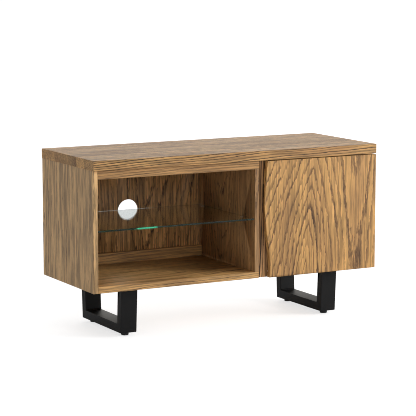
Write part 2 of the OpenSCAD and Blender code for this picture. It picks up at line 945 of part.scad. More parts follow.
module tie_set(extra = 0) {
    for (p = TIE_POINTS)
        sunk_screw(p, "x", -tie_screw_l, 4, 8, 2.4, extra);
}

module tie_screws() {
    color("silver")
        tie_set();
}

module tie_spacers() {
    color("dimgray")
        for (p = TIE_POINTS)
            difference() {
                rod([x_part_end, p[1], p[2]], "x", box_gap, spacer_d / 2);
                rod([x_part_end - 1, p[1], p[2]], "x", box_gap + 2, 2 + fit_gap);
            }
}

top_board();
bay_left_side();
bay_partition();
bay_bottom_board();
bay_top_front_rail();
bay_top_back_rail();
bay_lower_back_rail();
bay_back_panel();
glass_shelf();
glass_shelf_pins();
cupboard_left_side();
cupboard_front_post();
cupboard_right_side();
cupboard_bottom_board();
cupboard_top_front_rail();
cupboard_top_back_rail();
cupboard_lower_back_rail();
cupboard_back_panel();
cupboard_shelf();
cupboard_shelf_pins();
door();
hinge_cup(HINGE_Z[0]);  // lower_hinge_cup
hinge_cup(HINGE_Z[1]);  // upper_hinge_cup
hinge_arm(HINGE_Z[0]);  // lower_hinge_arm
hinge_arm(HINGE_Z[1]);  // upper_hinge_arm
hinge_plate(HINGE_Z[0]);  // lower_hinge_plate
hinge_plate(HINGE_Z[1]);  // upper_hinge_plate
hinge_pins();
hinge_cup_screws();
hinge_plate_screws();
magnetic_catch();
catch_screws();
strike_plate();
strike_screws();
door_bumpers();
runner_frame(FRAME_X[0]);  // left_runner_frame
runner_frame(FRAME_X[1]);  // right_runner_frame
frame_bolts();
frame_inserts();
glide_nuts();
glide(FRAME_X[0], GLIDE_Y[0]);  // left_front_glide
glide(FRAME_X[0], GLIDE_Y[1]);  // left_rear_glide
glide(FRAME_X[1], GLIDE_Y[0]);  // right_front_glide
glide(FRAME_X[1], GLIDE_Y[1]);  // right_rear_glide
box_dowels();
top_screws();
back_panel_screws();
tie_screws();
tie_spacers();
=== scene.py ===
# %% [markdown]
# # A small oak TV stand
#
# The stand is two oak boxes side by side under one thick oak top, on two black steel
# runner frames. The left box is an open bay with a glass shelf, the right one is a
# cupboard whose door keeps the wavy live edge of the tree. The joiner's model of every
# board and fitting is loaded first and stays where it is. What this lesson adds is the
# finish: softened edges, oak, glass and steel, the small fittings' details, and a plain
# studio.

# %% Load the joiner's model
import math

import bmesh
import bpy
from mathutils import Matrix, Vector


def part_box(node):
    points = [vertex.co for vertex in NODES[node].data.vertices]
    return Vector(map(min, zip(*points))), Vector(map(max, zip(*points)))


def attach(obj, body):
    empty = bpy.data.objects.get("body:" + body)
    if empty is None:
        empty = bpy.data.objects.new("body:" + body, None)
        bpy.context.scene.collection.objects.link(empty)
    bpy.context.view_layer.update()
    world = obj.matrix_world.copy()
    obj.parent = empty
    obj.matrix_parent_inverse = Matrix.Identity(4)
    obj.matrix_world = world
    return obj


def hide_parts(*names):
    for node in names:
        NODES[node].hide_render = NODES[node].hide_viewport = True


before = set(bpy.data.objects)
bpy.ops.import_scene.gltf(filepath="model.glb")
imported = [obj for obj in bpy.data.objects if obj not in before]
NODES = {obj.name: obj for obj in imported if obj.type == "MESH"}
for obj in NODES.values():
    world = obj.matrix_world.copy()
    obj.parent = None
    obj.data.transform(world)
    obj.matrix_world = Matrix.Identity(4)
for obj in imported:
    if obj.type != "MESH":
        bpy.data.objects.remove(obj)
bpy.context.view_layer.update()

print("boards and fittings:", len(NODES))

# %% [markdown]
# ## A short way to write node trees
#
# A finish in Blender is a tree of nodes. Wiring each one by hand takes a lot of room, so
# a small helper adds a node, sets what it is told, and links its inputs. An input is
# either a plain number or another node's output, and the helper tells the two apart.

# %% A helper that adds and links nodes
class Finish:
    """One finish: it adds nodes to a new material and wires them."""

    def __init__(self, name):
        self.material = bpy.data.materials.new(name)
        self.material.use_nodes = True
        self.tree = self.material.node_tree
        self.tree.nodes.clear()

    def feed(self, socket, value):
        if isinstance(value, bpy.types.NodeSocket):
            self.tree.links.new(value, socket)
        else:
            socket.default_value = value

    def add(self, kind, settings=None, **inputs):
        made = self.tree.nodes.new("ShaderNode" + kind)
        for key, value in (settings or {}).items():
            setattr(made, key, value)
        for key, value in inputs.items():
            self.feed(made.inputs[key.replace("_", " ")], value)
        return made

    def calc(self, operation, *terms):
        made = self.add("Math", {"operation": operation})
        for socket, term in zip(made.inputs, terms):
            self.feed(socket, term)
        return made.outputs[0]

    def vector(self, operation, *terms):
        made = self.add("VectorMath", {"operation": operation})
        for socket, term in zip(made.inputs, terms):
            self.feed(socket, term)
        return made.outputs["Value" if operation in ("LENGTH", "DOT_PRODUCT") else "Vector"]

    def scaled(self, place, factor):
        made = self.add("VectorMath", {"operation": "SCALE"}, Vector=place, Scale=factor)
        return made.outputs["Vector"]

    def between(self, value, low, high, to_low=0.0, to_high=1.0):
        made = self.add("MapRange", {"interpolation_type": "SMOOTHSTEP"}, Value=value)
        limits = {"From Min": low, "From Max": high, "To Min": to_low, "To Max": to_high}
        for name, number in limits.items():
            self.feed(made.inputs[name], number)
        return made.outputs["Result"]

    def blend(self, share, first, second):
        made = self.add("Mix", {"data_type": "RGBA"})
        for number, value in ((0, share), (6, first), (7, second)):
            self.feed(made.inputs[number], value)
        return made.outputs[2]

    def noise(self, place, detail=2.0, output="Fac"):
        return self.add("TexNoise", Vector=place, Scale=1.0, Detail=detail).outputs[output]

    def done(self, **inputs):
        shader = self.add("BsdfPrincipled", None, **inputs)
        end = self.add("OutputMaterial")
        self.tree.links.new(shader.outputs[0], end.inputs["Surface"])
        return self.material


def tint(red, green, blue):
    """A colour as a painter's chart gives it, 0 to 255, in the even scale that light adds up in."""
    shares = [c / 255 for c in (red, green, blue)]
    return tuple(s / 12.92 if s <= 0.04045 else ((s + 0.055) / 1.055) ** 2.4 for s in shares) + (1.0,)


print("mid grey is", [round(v, 3) for v in tint(128, 128, 128)[:3]], "in even light")

# %% [markdown]
# ## Worn arrises
#
# On real furniture the edges catch hands and cloths first: wood goes a little paler
# there and coatings a little shinier. Blender's Bevel node gives a normal that is
# rounded near edges. Where it differs from the true normal, there is an edge, and that
# difference is a ready mask that needs no painting.

# %% A mask of the edges
FLAT, ON_EDGE = 0.999, 0.85


def edge_mask(finish, reach):
    rounded = finish.add("Bevel", {"samples": 4}, Radius=reach).outputs[0]
    true = finish.add("NewGeometry").outputs["Normal"]
    same = finish.vector("DOT_PRODUCT", rounded, true)
    return finish.between(same, FLAT, ON_EDGE)


# %% [markdown]
# ## Oak
#
# Oak's figure comes from its growth rings. Each spring the tree grows a band of wide,
# dark pores, and in summer dense, pale wood. A board is a flat cut through those nested
# tubes. Where it cuts them nearly flat, near the middle of the log, the rings show as
# pointed arches, one inside another. Farther out they are straight lines.
#
# A picture of wood would stretch and repeat, and the end of a board would not match its
# face. So the finish is a solid one: it works out how far each point in space is from
# the log's pith, a slightly leaning line, and colours it by where that lies in a ring.
# Any face cut through it then shows the right figure, end grain too. Noise bends the
# trunk, makes rings wide and narrow, and frays them along the fibres.

# %% Where a point lies in the log
def log_place(finish, along, through, seed, stave):
    """The point as (along the grain, across the face, through the board), and which stave it is in."""
    place = finish.add("TexCoord").outputs["Object"]
    axes = dict(zip("XYZ", finish.add("SeparateXYZ", Vector=place).outputs))
    across = ({"X", "Y", "Z"} - {along, through}).pop()
    point = finish.add("CombineXYZ", X=axes[along], Y=axes[across], Z=axes[through]).outputs[0]
    grain = finish.vector("ADD", point, (seed * 1.7, seed * 0.9, seed * 0.3))
    if not stave:
        return point, grain, None, None
    width = finish.calc("ADD", axes[across], seed * 3.1)
    settings = {"voronoi_dimensions": "1D", "feature": "F1"}
    lots = finish.add("TexVoronoi", settings, W=width, Scale=1 / stave, Randomness=0.55)
    settings = {"voronoi_dimensions": "1D", "feature": "DISTANCE_TO_EDGE"}
    joints = finish.add("TexVoronoi", settings, W=width, Scale=1 / stave, Randomness=0.55)
    drawn_lot = finish.vector("SUBTRACT", lots.outputs["Color"], (0.5, 0.5, 0.5))
    point = finish.vector("ADD", point, finish.vector("MULTIPLY", drawn_lot, (0.6, 0.14, 0.05)))
    grain = finish.vector("ADD", grain, finish.vector("MULTIPLY", drawn_lot, (9.0, 3.0, 1.0)))
    return point, grain, lots.outputs["Color"], joints.outputs["Distance"]


# %% How far it is from the pith, in rings
ARCH_WIDTH = 0.10
BENDS = (2.4, 7.0, 7.0)
FRAYS = (36.0, 200.0, 200.0)
UNEVEN_COUNT, UNEVEN = 45.0, 0.9


def ring_count(finish, point, grain, pith, lean, ring, swirl, fray, arch):
    """pith is where the pith lies, (across, through). lean is how far it moves for each metre."""
    wander = finish.noise(finish.vector("MULTIPLY", grain, BENDS), 2.0, "Color")
    wander = finish.vector("SUBTRACT", wander, (0.5, 0.5, 0.5))
    wander = finish.vector("MULTIPLY", wander, (0.0, swirl, swirl))
    parts = finish.add("SeparateXYZ", Vector=finish.vector("ADD", point, wander)).outputs
    across = finish.calc("SUBTRACT", parts[1], pith[0])
    across = finish.calc("SUBTRACT", across, finish.calc("MULTIPLY", parts[0], lean[0]))
    through = finish.calc("SUBTRACT", parts[2], pith[1])
    through = finish.calc("SUBTRACT", through, finish.calc("MULTIPLY", parts[0], lean[1]))
    across = finish.calc("POWER", finish.calc("ABSOLUTE", across), arch)
    evened = finish.calc("POWER", ARCH_WIDTH, finish.calc("SUBTRACT", 1.0, arch))
    across = finish.calc("MULTIPLY", across, evened)
    radius = finish.vector("LENGTH", finish.add("CombineXYZ", X=across, Y=through, Z=0.0).outputs[0])
    frayed = finish.noise(finish.vector("MULTIPLY", grain, FRAYS), 2.0)
    frayed = finish.calc("MULTIPLY", finish.calc("SUBTRACT", frayed, 0.5), fray)
    radius = finish.calc("ADD", radius, frayed)
    uneven = finish.add("TexNoise", {"noise_dimensions": "1D"}, W=radius, Scale=UNEVEN_COUNT, Detail=1.0)
    count = finish.calc("DIVIDE", radius, ring)
    return finish.calc("ADD", count, finish.calc("MULTIPLY", uneven.outputs[0], UNEVEN))


# %% The dark spring wood in each ring
BREAKS = (26.0, 130.0, 130.0)
PORES = (90.0, 1500.0, 1500.0)


def spring_wood(finish, count, grain, width, dashes):
    """width is the dark share of a ring, and dashes says how far its line is broken up."""
    share = finish.calc("FRACT", count)
    number = finish.calc("FLOOR", count)
    strong = finish.add("TexWhiteNoise", {"noise_dimensions": "1D"}, W=number).outputs["Value"]
    strong = finish.between(strong, 0.0, 1.0, 0.45, 1.0)
    start = finish.between(share, 0.0, 0.06)
    fade = finish.between(share, 0.14, width, 1.0, 0.0)
    band = finish.calc("MULTIPLY", finish.calc("MULTIPLY", start, fade), strong)
    broken = finish.noise(finish.vector("MULTIPLY", grain, BREAKS), 2.0)
    band = finish.calc("MULTIPLY", band, finish.between(broken, 0.36, 0.52, 1 - dashes, 1.0))
    pores = finish.noise(finish.vector("MULTIPLY", grain, PORES), 1.0)
    dense = finish.between(share, 0.68, 0.95)
    return band, finish.between(pores, 0.40, 0.62), dense


# %% The whole oak finish
def oak(name, along, through, seed, stave=0.0, ring=0.011, pith=(0.0, 0.05), lean=(0.0, 0.12),
        swirl=0.03, fray=0.010, arch=1.0, pale=(216, 167, 104), deep=(188, 141, 86), dark=(62, 40, 32),
        contrast=1.0, streak=0.26, streak_count=200.0, mottle=0.06, mottle_count=14.0, tones=0.14,
        end_shade=0.70, edge_painted_light=1.0, sheen=0.44, width=0.40, dashes=0.5):
    """along and through are the board's axes: along its grain, and through its thickness."""
    f = Finish(name)
    point, grain, lot, joint = log_place(f, along, through, seed, stave)
    if pith == "leaves":
        pith, lean, arch = door_leaves(f)
    count = ring_count(f, point, grain, pith, lean, ring, swirl, fray, arch)
    band, pores, dense = spring_wood(f, count, grain, width, dashes)
    facing = f.add("SeparateXYZ", Vector=f.add("TexCoord").outputs["Normal"]).outputs
    is_end = f.between(f.calc("ABSOLUTE", facing[along]), 0.7, 0.95)
    is_face = f.between(f.calc("ABSOLUTE", facing[through]), 0.7, 0.95)
    patches = f.noise(f.vector("MULTIPLY", grain, (3.0, 14.0, 14.0)), 3.0)
    streaks = f.noise(f.vector("MULTIPLY", grain, (7.0, streak_count, streak_count)), 3.0)
    fibres = f.noise(f.vector("MULTIPLY", grain, (22.0, 900.0, 900.0)), 2.0)
    summer = f.blend(f.between(patches, 0.3, 0.7), tint(*pale), tint(*deep))
    drawn = f.calc("MULTIPLY", band, f.between(pores, 0.0, 1.0, 0.72, 1.0))
    drawn = f.calc("MAXIMUM", f.calc("MULTIPLY", drawn, contrast), f.calc("MULTIPLY", pores, 0.10))
    drawn = f.calc("MULTIPLY", drawn, f.between(is_end, 0.0, 1.0, 1.0, 0.4))
    colour = f.blend(drawn, summer, tint(*dark))
    light = f.between(fibres, 0.25, 0.75, 0.88, 1.10)
    light = f.calc("MULTIPLY", light, f.between(dense, 0.0, 1.0, 1.0, 1.12))
    light = f.calc("MULTIPLY", light, f.between(streaks, 0.40, 0.58, 1 - streak, 1 + 0.6 * streak))
    blotches = f.noise(f.vector("MULTIPLY", grain, (mottle_count, 34.0, 34.0)), 2.0)
    blotches = f.calc("MULTIPLY", f.between(blotches, 0.3, 0.7, -mottle, mottle), is_face)
    light = f.calc("MULTIPLY", light, f.calc("ADD", 1.0, blotches))
    if stave:
        tone = f.add("SeparateColor", Color=lot).outputs[2]
        tone = f.calc("SUBTRACT", tone, 0.5)
        tone = f.calc("MULTIPLY", tone, f.between(is_end, 0.0, 1.0, 2 * tones, 0.5))
        light = f.calc("MULTIPLY", light, f.calc("ADD", 1.0, tone))
        light = f.calc("MULTIPLY", light, f.between(joint, 0.0, 0.016, 0.72, 1.0))
    light = f.calc("MULTIPLY", light, f.between(is_end, 0.0, 1.0, 1.0, end_shade))
    # Edge faces, neither end grain nor broad face, are scaled by one number: above 1 it is painted light,
    # as on the left side's front edge; below 1, as on the top and bottom boards, it is painted shade.
    is_edge = f.calc("SUBTRACT", f.calc("SUBTRACT", 1.0, is_end), is_face)
    light = f.calc("MULTIPLY", light, f.between(is_edge, 0.0, 1.0, 1.0, edge_painted_light))
    light = f.calc("MULTIPLY", light, f.between(edge_mask(f, 0.002), 0.0, 1.0, 1.0, 1.12))
    rough = f.between(drawn, 0.0, 1.0, sheen, sheen + 0.16)
    rough = f.calc("ADD", rough, f.calc("MULTIPLY", f.calc("SUBTRACT", patches, 0.5), 0.12))
    height = f.calc("SUBTRACT", f.calc("MULTIPLY", fibres, 0.35), drawn)
    bump = f.add("Bump", None, Strength=0.45, Distance=0.0005, Height=height)
    return f.done(Base_Color=f.scaled(colour, light), Roughness=rough, Normal=bump.outputs[0], IOR=1.48)


# %% [markdown]
# ## The door's three leaves
#
# The door is covered with three leaves of veneer side by side. Each is a cut through
# another part of the log, so each has its own pith: the left leaf shows the flank of a
# figure, the middle one pointed arches that stand upright, and the right one a long
# tongue that points down. A step at each joint picks the leaf's numbers.

# %% Pick a number by leaf
def by_leaf(finish, across, joints, numbers):
    """numbers has one number for each leaf, and joints says where one leaf ends and the next begins."""
    value = numbers[0]
    for joint, before, after in zip(joints, numbers, numbers[1:]):
        past = finish.calc("GREATER_THAN", across, joint)
        value = finish.calc("ADD", value, finish.calc("MULTIPLY", past, after - before))
    return value


def door_leaves(finish):
    low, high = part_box("door")
    wide = high.x - low.x
    place = finish.add("TexCoord").outputs["Object"]
    across = finish.add("SeparateXYZ", Vector=place).outputs["X"]
    joints = [low.x + share * wide for share in (0.14, 0.655)]
    piths = [low.x + share * wide for share in (0.30, 0.334, 0.83)]
    pith_across = by_leaf(finish, across, joints, piths)
    pith_through = by_leaf(finish, across, joints, [-0.175, -0.2217, -0.0777])
    lean_across = by_leaf(finish, across, joints, [0.0, 0.07, -0.01])
    lean_through = by_leaf(finish, across, joints, [0.26, 0.205, -0.050])
    arch = by_leaf(finish, across, joints, [0.8, 0.58, 1.0])
    return (pith_across, pith_through), (lean_across, lean_through), arch


# %% One oak finish for each kind of board
OAK = {
    "top": oak(
        "oak top board", "X", "Z", 1, stave=0.062, ring=0.0070, pith=(-0.42, 0.16), lean=(0.01, 0.03),
        width=0.56, contrast=1.3, mottle=0.12, mottle_count=60.0, tones=0.07, streak_count=130.0,
        fray=0.003, dashes=0.15, pale=(220, 170, 104), deep=(188, 140, 86), dark=(38, 24, 18),
        end_shade=0.73, edge_painted_light=0.92, sheen=0.50),
    # The left side's front edge is painted 1.45 times brighter: painted light where the key lamp falls on
    # it.
    "left side": oak(
        "oak left side", "Z", "X", 2, stave=0.14, ring=0.0075, pith=(0.25, -0.85), lean=(0.02, 0.05),
        width=0.5, streak=0.34, streak_count=110.0, fray=0.006, tones=0.06, pale=(208, 167, 114),
        deep=(190, 152, 104), dark=(50, 38, 34), edge_painted_light=1.45, contrast=0.8),
    "right side": oak(
        "oak right side", "Z", "X", 3, stave=0.14, ring=0.0085, pith=(-0.10, 0.34), lean=(0.02, 0.10),
        width=0.5, streak_count=110.0, fray=0.006, tones=0.06),
    "inner side": oak(
        "oak inner sides", "Z", "X", 4, stave=0.12, ring=0.010, pith=(0.10, -0.10), lean=(0.02, 0.12),
        pale=(196, 150, 100), deep=(170, 128, 84)),
    "post": oak(
        "oak post", "Z", "Y", 5, ring=0.009, pith=(0.60, -0.30), lean=(0.02, 0.02), width=0.6,
        fray=0.004, dashes=0.1, dark=(40, 26, 22), pale=(226, 174, 118), deep=(168, 126, 84),
        streak=0.55, streak_count=130.0, contrast=1.2),
    "bottom": oak(
        "oak bottom boards", "X", "Z", 6, stave=0.09, ring=0.008, pith=(-0.20, -0.10),
        lean=(0.02, 0.03), width=0.55, fray=0.004, dashes=0.3, pale=(230, 180, 114), edge_painted_light=0.92),
    "rail": oak(
        "oak rails", "X", "Y", 7, ring=0.008, pith=(0.95, -0.30), lean=(0.03, 0.01), width=0.55,
        fray=0.003, dashes=0.2, pale=(206, 158, 99)),
    "shelf": oak(
        "oak shelf", "X", "Z", 8, stave=0.09, pith=(0.0, 0.15), lean=(0.02, 0.06)),
    "back": oak(
        "oak back panels", "Z", "Y", 9, stave=0.20, ring=0.0095, pith=(-0.10, 0.05),
        lean=(0.03, 0.10), arch=0.68, width=0.42, pale=(216, 166, 110), deep=(186, 142, 92),
        dark=(50, 32, 24), streak=0.40),
    "door": oak(
        "oak door", "Z", "Y", 10, ring=0.0125, pith="leaves", swirl=0.024, width=0.44, dashes=0.30,
        pale=(220, 168, 100), dark=(76, 46, 29), streak=0.28),
    "beech": oak(
        "beech dowels", "X", "Z", 11, ring=0.004, pale=(222, 186, 140), deep=(206, 168, 122),
        dark=(164, 122, 84), contrast=0.5, streak=0.1),
}
print("oak finishes:", len(OAK))

# %% [markdown]
# ## Metal, plastic, glass and rubber
#
# The frames wear a fine-textured powder coat: nearly black, with a faint orange-peel
# grain that breaks up the highlights. The small fittings are bright nickel or zinc. All
# of them are one recipe with other numbers, because each needs the same things: a
# cloudy change of shade, a fine bump, and edges that are rubbed a little brighter.

# %% One recipe for coated and bare metal, plastic and rubber
def dressed(name, shade, worn_shade, metal=0.0, rough=0.4, spread=0.12, grain=0.0006, depth=0.00005,
            brushed=None, gloss=0.5, clear=0.0):
    f = Finish(name)
    place = f.add("TexCoord").outputs["Object"]
    cloudy = f.noise(f.scaled(place, 30.0), 3.0)
    stretch = [1 / grain] * 3
    if brushed is not None:
        stretch["XYZ".index(brushed)] *= 0.04
    fine = f.noise(f.vector("MULTIPLY", place, tuple(stretch)), 2.0)
    paler = [min(255, c * 1.12 + 2) for c in shade]
    colour = f.blend(f.between(cloudy, 0.3, 0.7), tint(*shade), tint(*paler))
    worn = f.calc("MULTIPLY", edge_mask(f, 0.0012), f.between(cloudy, 0.35, 0.6, 0.3, 0.9))
    colour = f.blend(worn, colour, tint(*worn_shade))
    haze = f.calc("ADD", rough, f.calc("MULTIPLY", f.calc("SUBTRACT", fine, 0.5), spread))
    haze = f.calc("SUBTRACT", haze, f.calc("MULTIPLY", worn, 0.08))
    bump = f.add("Bump", None, Strength=0.5, Distance=depth, Height=fine)
    return f.done(Base_Color=colour, Roughness=haze, Metallic=metal, Normal=bump.outputs[0],
                  Specular_IOR_Level=gloss, Transmission_Weight=clear)


METAL = {
    "black coat": dressed("black powder coat", (9, 9, 10), (26, 26, 28), rough=0.5, grain=0.0007,
                          depth=0.00012, gloss=0.3),
    "nickel": dressed("bright nickel", (205, 204, 200), (232, 231, 228), metal=1.0, rough=0.30,
                      brushed="Y"),
    "zinc": dressed("bright zinc", (186, 188, 190), (222, 223, 224), metal=1.0, rough=0.32),
    "brass": dressed("turned brass", (196, 158, 88), (226, 196, 130), metal=1.0, rough=0.3),
    "brown plastic": dressed("brown plastic", (82, 56, 38), (104, 76, 54), rough=0.45),
    "black plastic": dressed("black plastic", (26, 26, 26), (48, 48, 48), rough=0.5),
    "clear rubber": dressed("clear rubber", (214, 214, 206), (232, 232, 226), rough=0.35, clear=0.35),
}
print("metal and plastic finishes:", len(METAL))

# %% [markdown]
# ## Float glass
#
# Window glass looks clear through its face and green through its edge, because it holds
# a trace of iron and the eye looks through half a metre of it there. Here the green is in
# the body of the glass, as absorption for each metre, and is also painted on the edge faces
# as a green shade for that long path. The ground edge is only a little rougher.
#
# Light through glass is slow to trace, so for shadows the sheet counts as a faintly
# green film that lets lamps through.

# %% Glass with green in its body
def float_glass(name):
    f = Finish(name)
    place = f.add("TexCoord").outputs["Object"]
    facing = f.add("SeparateXYZ", Vector=f.add("TexCoord").outputs["Normal"]).outputs["Z"]
    is_edge = f.between(f.calc("ABSOLUTE", facing), 0.9, 0.3)
    smears = f.noise(f.vector("MULTIPLY", place, (9.0, 22.0, 9.0)), 3.0)
    ground = f.noise(f.vector("MULTIPLY", place, (2600.0, 2600.0, 2600.0)), 1.0)
    rough = f.between(smears, 0.45, 0.75, 0.0, 0.012)
    rough = f.calc("ADD", rough, f.calc("MULTIPLY", is_edge, 0.10))
    height = f.calc("MULTIPLY", ground, is_edge)
    bump = f.add("Bump", None, Strength=0.3, Distance=0.00005, Height=height)
    # The edge faces are also painted green: a painted shade standing in for light's long path through the
    # glass.
    colour = f.blend(is_edge, (0.99, 1.0, 0.995, 1.0), (0.55, 0.86, 0.78, 1.0))
    shader = f.add("BsdfPrincipled", None, Base_Color=colour, Roughness=rough, IOR=1.52,
                   Transmission_Weight=1.0, Normal=bump.outputs[0])
    film = f.add("BsdfTransparent", None, Color=(0.86, 0.93, 0.90, 1.0))
    is_shadow = f.add("LightPath").outputs["Is Shadow Ray"]
    surface = f.add("MixShader", None, Fac=is_shadow)
    f.tree.links.new(shader.outputs[0], surface.inputs[1])
    f.tree.links.new(film.outputs[0], surface.inputs[2])
    body = f.add("VolumeAbsorption", None, Color=(0.20, 0.86, 0.68, 1.0), Density=7.0)
    end = f.add("OutputMaterial")
    f.tree.links.new(surface.outputs[0], end.inputs["Surface"])
    f.tree.links.new(body.outputs[0], end.inputs["Volume"])
    return f.material


GLASS = float_glass("float glass")
print("glass is ready:", GLASS.name)

# %% [markdown]
# ## Which finish each board and fitting wears
#
# The joiner's model keeps its pieces. Each gets its finish in its material slot, by name.

# %% Hand the finishes out
RAILS = ["bay_top_front_rail", "bay_top_back_rail", "bay_lower_back_rail", "cupboard_top_front_rail",
         "cupboard_top_back_rail", "cupboard_lower_back_rail"]
PANELS = ["bay_back_panel", "cupboard_back_panel"]
FRAMES = ["left_runner_frame", "right_runner_frame"]
WEARS = {
    OAK["top"]: ["top_board"],
    OAK["left side"]: ["bay_left_side"],
    OAK["right side"]: ["cupboard_right_side"],
    OAK["inner side"]: ["bay_partition", "cupboard_left_side"],
    OAK["post"]: ["cupboard_front_post"],
    OAK["bottom"]: ["bay_bottom_board", "cupboard_bottom_board"],
    OAK["rail"]: RAILS,
    OAK["beech"]: ["box_dowels"],
    OAK["shelf"]: ["cupboard_shelf"],
    OAK["back"]: PANELS,
    OAK["door"]: ["door"],
    GLASS: ["glass_shelf"],
    METAL["nickel"]: ["glass_shelf_pins", "cupboard_shelf_pins", "lower_hinge_cup", "upper_hinge_cup",
                      "lower_hinge_arm", "upper_hinge_arm", "lower_hinge_plate", "upper_hinge_plate",
                      "hinge_pins"],
    METAL["zinc"]: ["hinge_cup_screws", "hinge_plate_screws", "catch_screws", "strike_plate",
                    "strike_screws", "glide_nuts", "top_screws", "back_panel_screws", "tie_screws"],
    METAL["brown plastic"]: ["magnetic_catch"],
    METAL["clear rubber"]: ["door_bumpers"],
    METAL["black coat"]: FRAMES + ["frame_bolts"],
    METAL["brass"]: ["frame_inserts"],
    METAL["black plastic"]: ["left_front_glide", "left_rear_glide", "right_front_glide", "right_rear_glide",
                             "tie_spacers"],
}
for finish, names in WEARS.items():
    for name in names:
        NODES[name].material_slots[0].link = "OBJECT"
        NODES[name].material_slots[0].material = finish
dressed_names = [n for names in WEARS.values() for n in names]
print("dressed:", len(dressed_names), "of", len(NODES))

# %% [markdown]
# ## Softened edges
#
# No maker leaves a board's edges sharp: a few strokes with a sanding block round them by
# about a millimetre, and that thin line catches the light. A Bevel modifier does the
# same. It must leave the rims of drilled holes alone, so a small node group marks only
# edges that are both sharp and long, and the bevel follows the marks. The group first
# joins the model's loose corners, so that neighbouring faces share their edges.

# %% Mark the long, sharp edges
SHARP_FROM = math.radians(28)
JOIN_WITHIN = 0.000005


def marking_group(name, shortest):
    group = bpy.data.node_groups.new(name, "GeometryNodeTree")
    group.interface.new_socket("Geometry", in_out="INPUT", socket_type="NodeSocketGeometry")
    group.interface.new_socket("Geometry", in_out="OUTPUT", socket_type="NodeSocketGeometry")
    add, link = group.nodes.new, group.links.new
    start, end = add("NodeGroupInput"), add("NodeGroupOutput")
    drop = add("GeometryNodeRemoveAttribute")
    drop.inputs["Name"].default_value = "custom_normal"
    merge = add("GeometryNodeMergeByDistance")
    merge.inputs["Distance"].default_value = JOIN_WITHIN
    angle = add("GeometryNodeInputMeshEdgeAngle")
    ends = add("GeometryNodeInputMeshEdgeVertices")
    length = add("ShaderNodeVectorMath")
    length.operation = "DISTANCE"
    sharp, long_one, both = add("ShaderNodeMath"), add("ShaderNodeMath"), add("ShaderNodeMath")
    sharp.operation = long_one.operation = "GREATER_THAN"
    sharp.inputs[1].default_value = SHARP_FROM
    long_one.inputs[1].default_value = shortest
    both.operation = "MULTIPLY"
    mark = add("GeometryNodeStoreNamedAttribute")
    mark.domain = "EDGE"
    mark.data_type = "FLOAT"
    mark.inputs["Name"].default_value = "bevel_weight_edge"
    smooth = add("GeometryNodeSetShadeSmooth")
    link(start.outputs[0], drop.inputs["Geometry"])
    link(drop.outputs[0], merge.inputs["Geometry"])
    link(merge.outputs[0], smooth.inputs["Geometry"])
    link(smooth.outputs[0], mark.inputs["Geometry"])
    link(angle.outputs["Unsigned Angle"], sharp.inputs[0])
    link(ends.outputs["Position 1"], length.inputs[0])
    link(ends.outputs["Position 2"], length.inputs[1])
    link(length.outputs["Value"], long_one.inputs[0])
    link(sharp.outputs[0], both.inputs[0])
    link(long_one.outputs[0], both.inputs[1])
    link(both.outputs[0], mark.inputs["Value"])
    link(mark.outputs[0], end.inputs[0])
    return group


def soften(piece, width, shortest=0.0045, steps=3):
    name = f"long edges over {shortest}"
    group = bpy.data.node_groups.get(name) or marking_group(name, shortest)
    piece.modifiers.new("mark long edges", "NODES").node_group = group
    round_off = piece.modifiers.new("sanded edges", "BEVEL")
    round_off.width = width
    round_off.segments = steps
    round_off.limit_method = "WEIGHT"
    round_off.use_clamp_overlap = False
    round_off.harden_normals = True


SANDED = {0.0014: ["top_board"],
          0.0010: ["bay_left_side", "cupboard_right_side", "bay_partition", "cupboard_left_side",
                   "cupboard_front_post", "bay_bottom_board", "cupboard_bottom_board", "cupboard_shelf",
                   "door"],
          0.0007: RAILS + PANELS + ["glass_shelf"]}
for width, names in SANDED.items():
    for name in names:
        soften(NODES[name], width)
for name in FRAMES:
    soften(NODES[name], 0.0025, 0.012, 4)
print("softened:", sum(len(names) for names in SANDED.values()) + len(FRAMES))

# %% [markdown]
# ## Screws with threads and cut heads
#
# The joiner's model has plain pegs where the screws go. A real screw has a thread that
# climbs round its shank and a cross or a six-sided socket in its head. Each one is built
# here as one closed skin: a ring of corners for each step down the shank, pushed in and
# out so that the crest climbs one pitch for each turn, and a head whose flat face is
# filled round the outline of the socket.
#
# Where a screw goes, how long it is and how wide its head is are read from the peg it
# replaces, so that it cannot miss its hole.

# %% Find the separate pegs of one set
WELD_WITHIN = 0.00001


def pegs_of(name):
    """The corners of each separate solid in one of the joiner's pieces."""
    copy = bmesh.new()
    copy.from_mesh(NODES[name].data)
    bmesh.ops.remove_doubles(copy, verts=copy.verts, dist=WELD_WITHIN)
    found, seen = [], set()
    for first in copy.verts:
        if first in seen:
            continue
        seen.add(first)
        waiting, corners = [first], []
        while waiting:
            corner = waiting.pop()
            corners.append(corner.co.copy())
            for edge in corner.link_edges:
                other = edge.other_vert(corner)
                if other not in seen:
                    seen.add(other)
                    waiting.append(other)
        found.append(corners)
    copy.free()
    return found


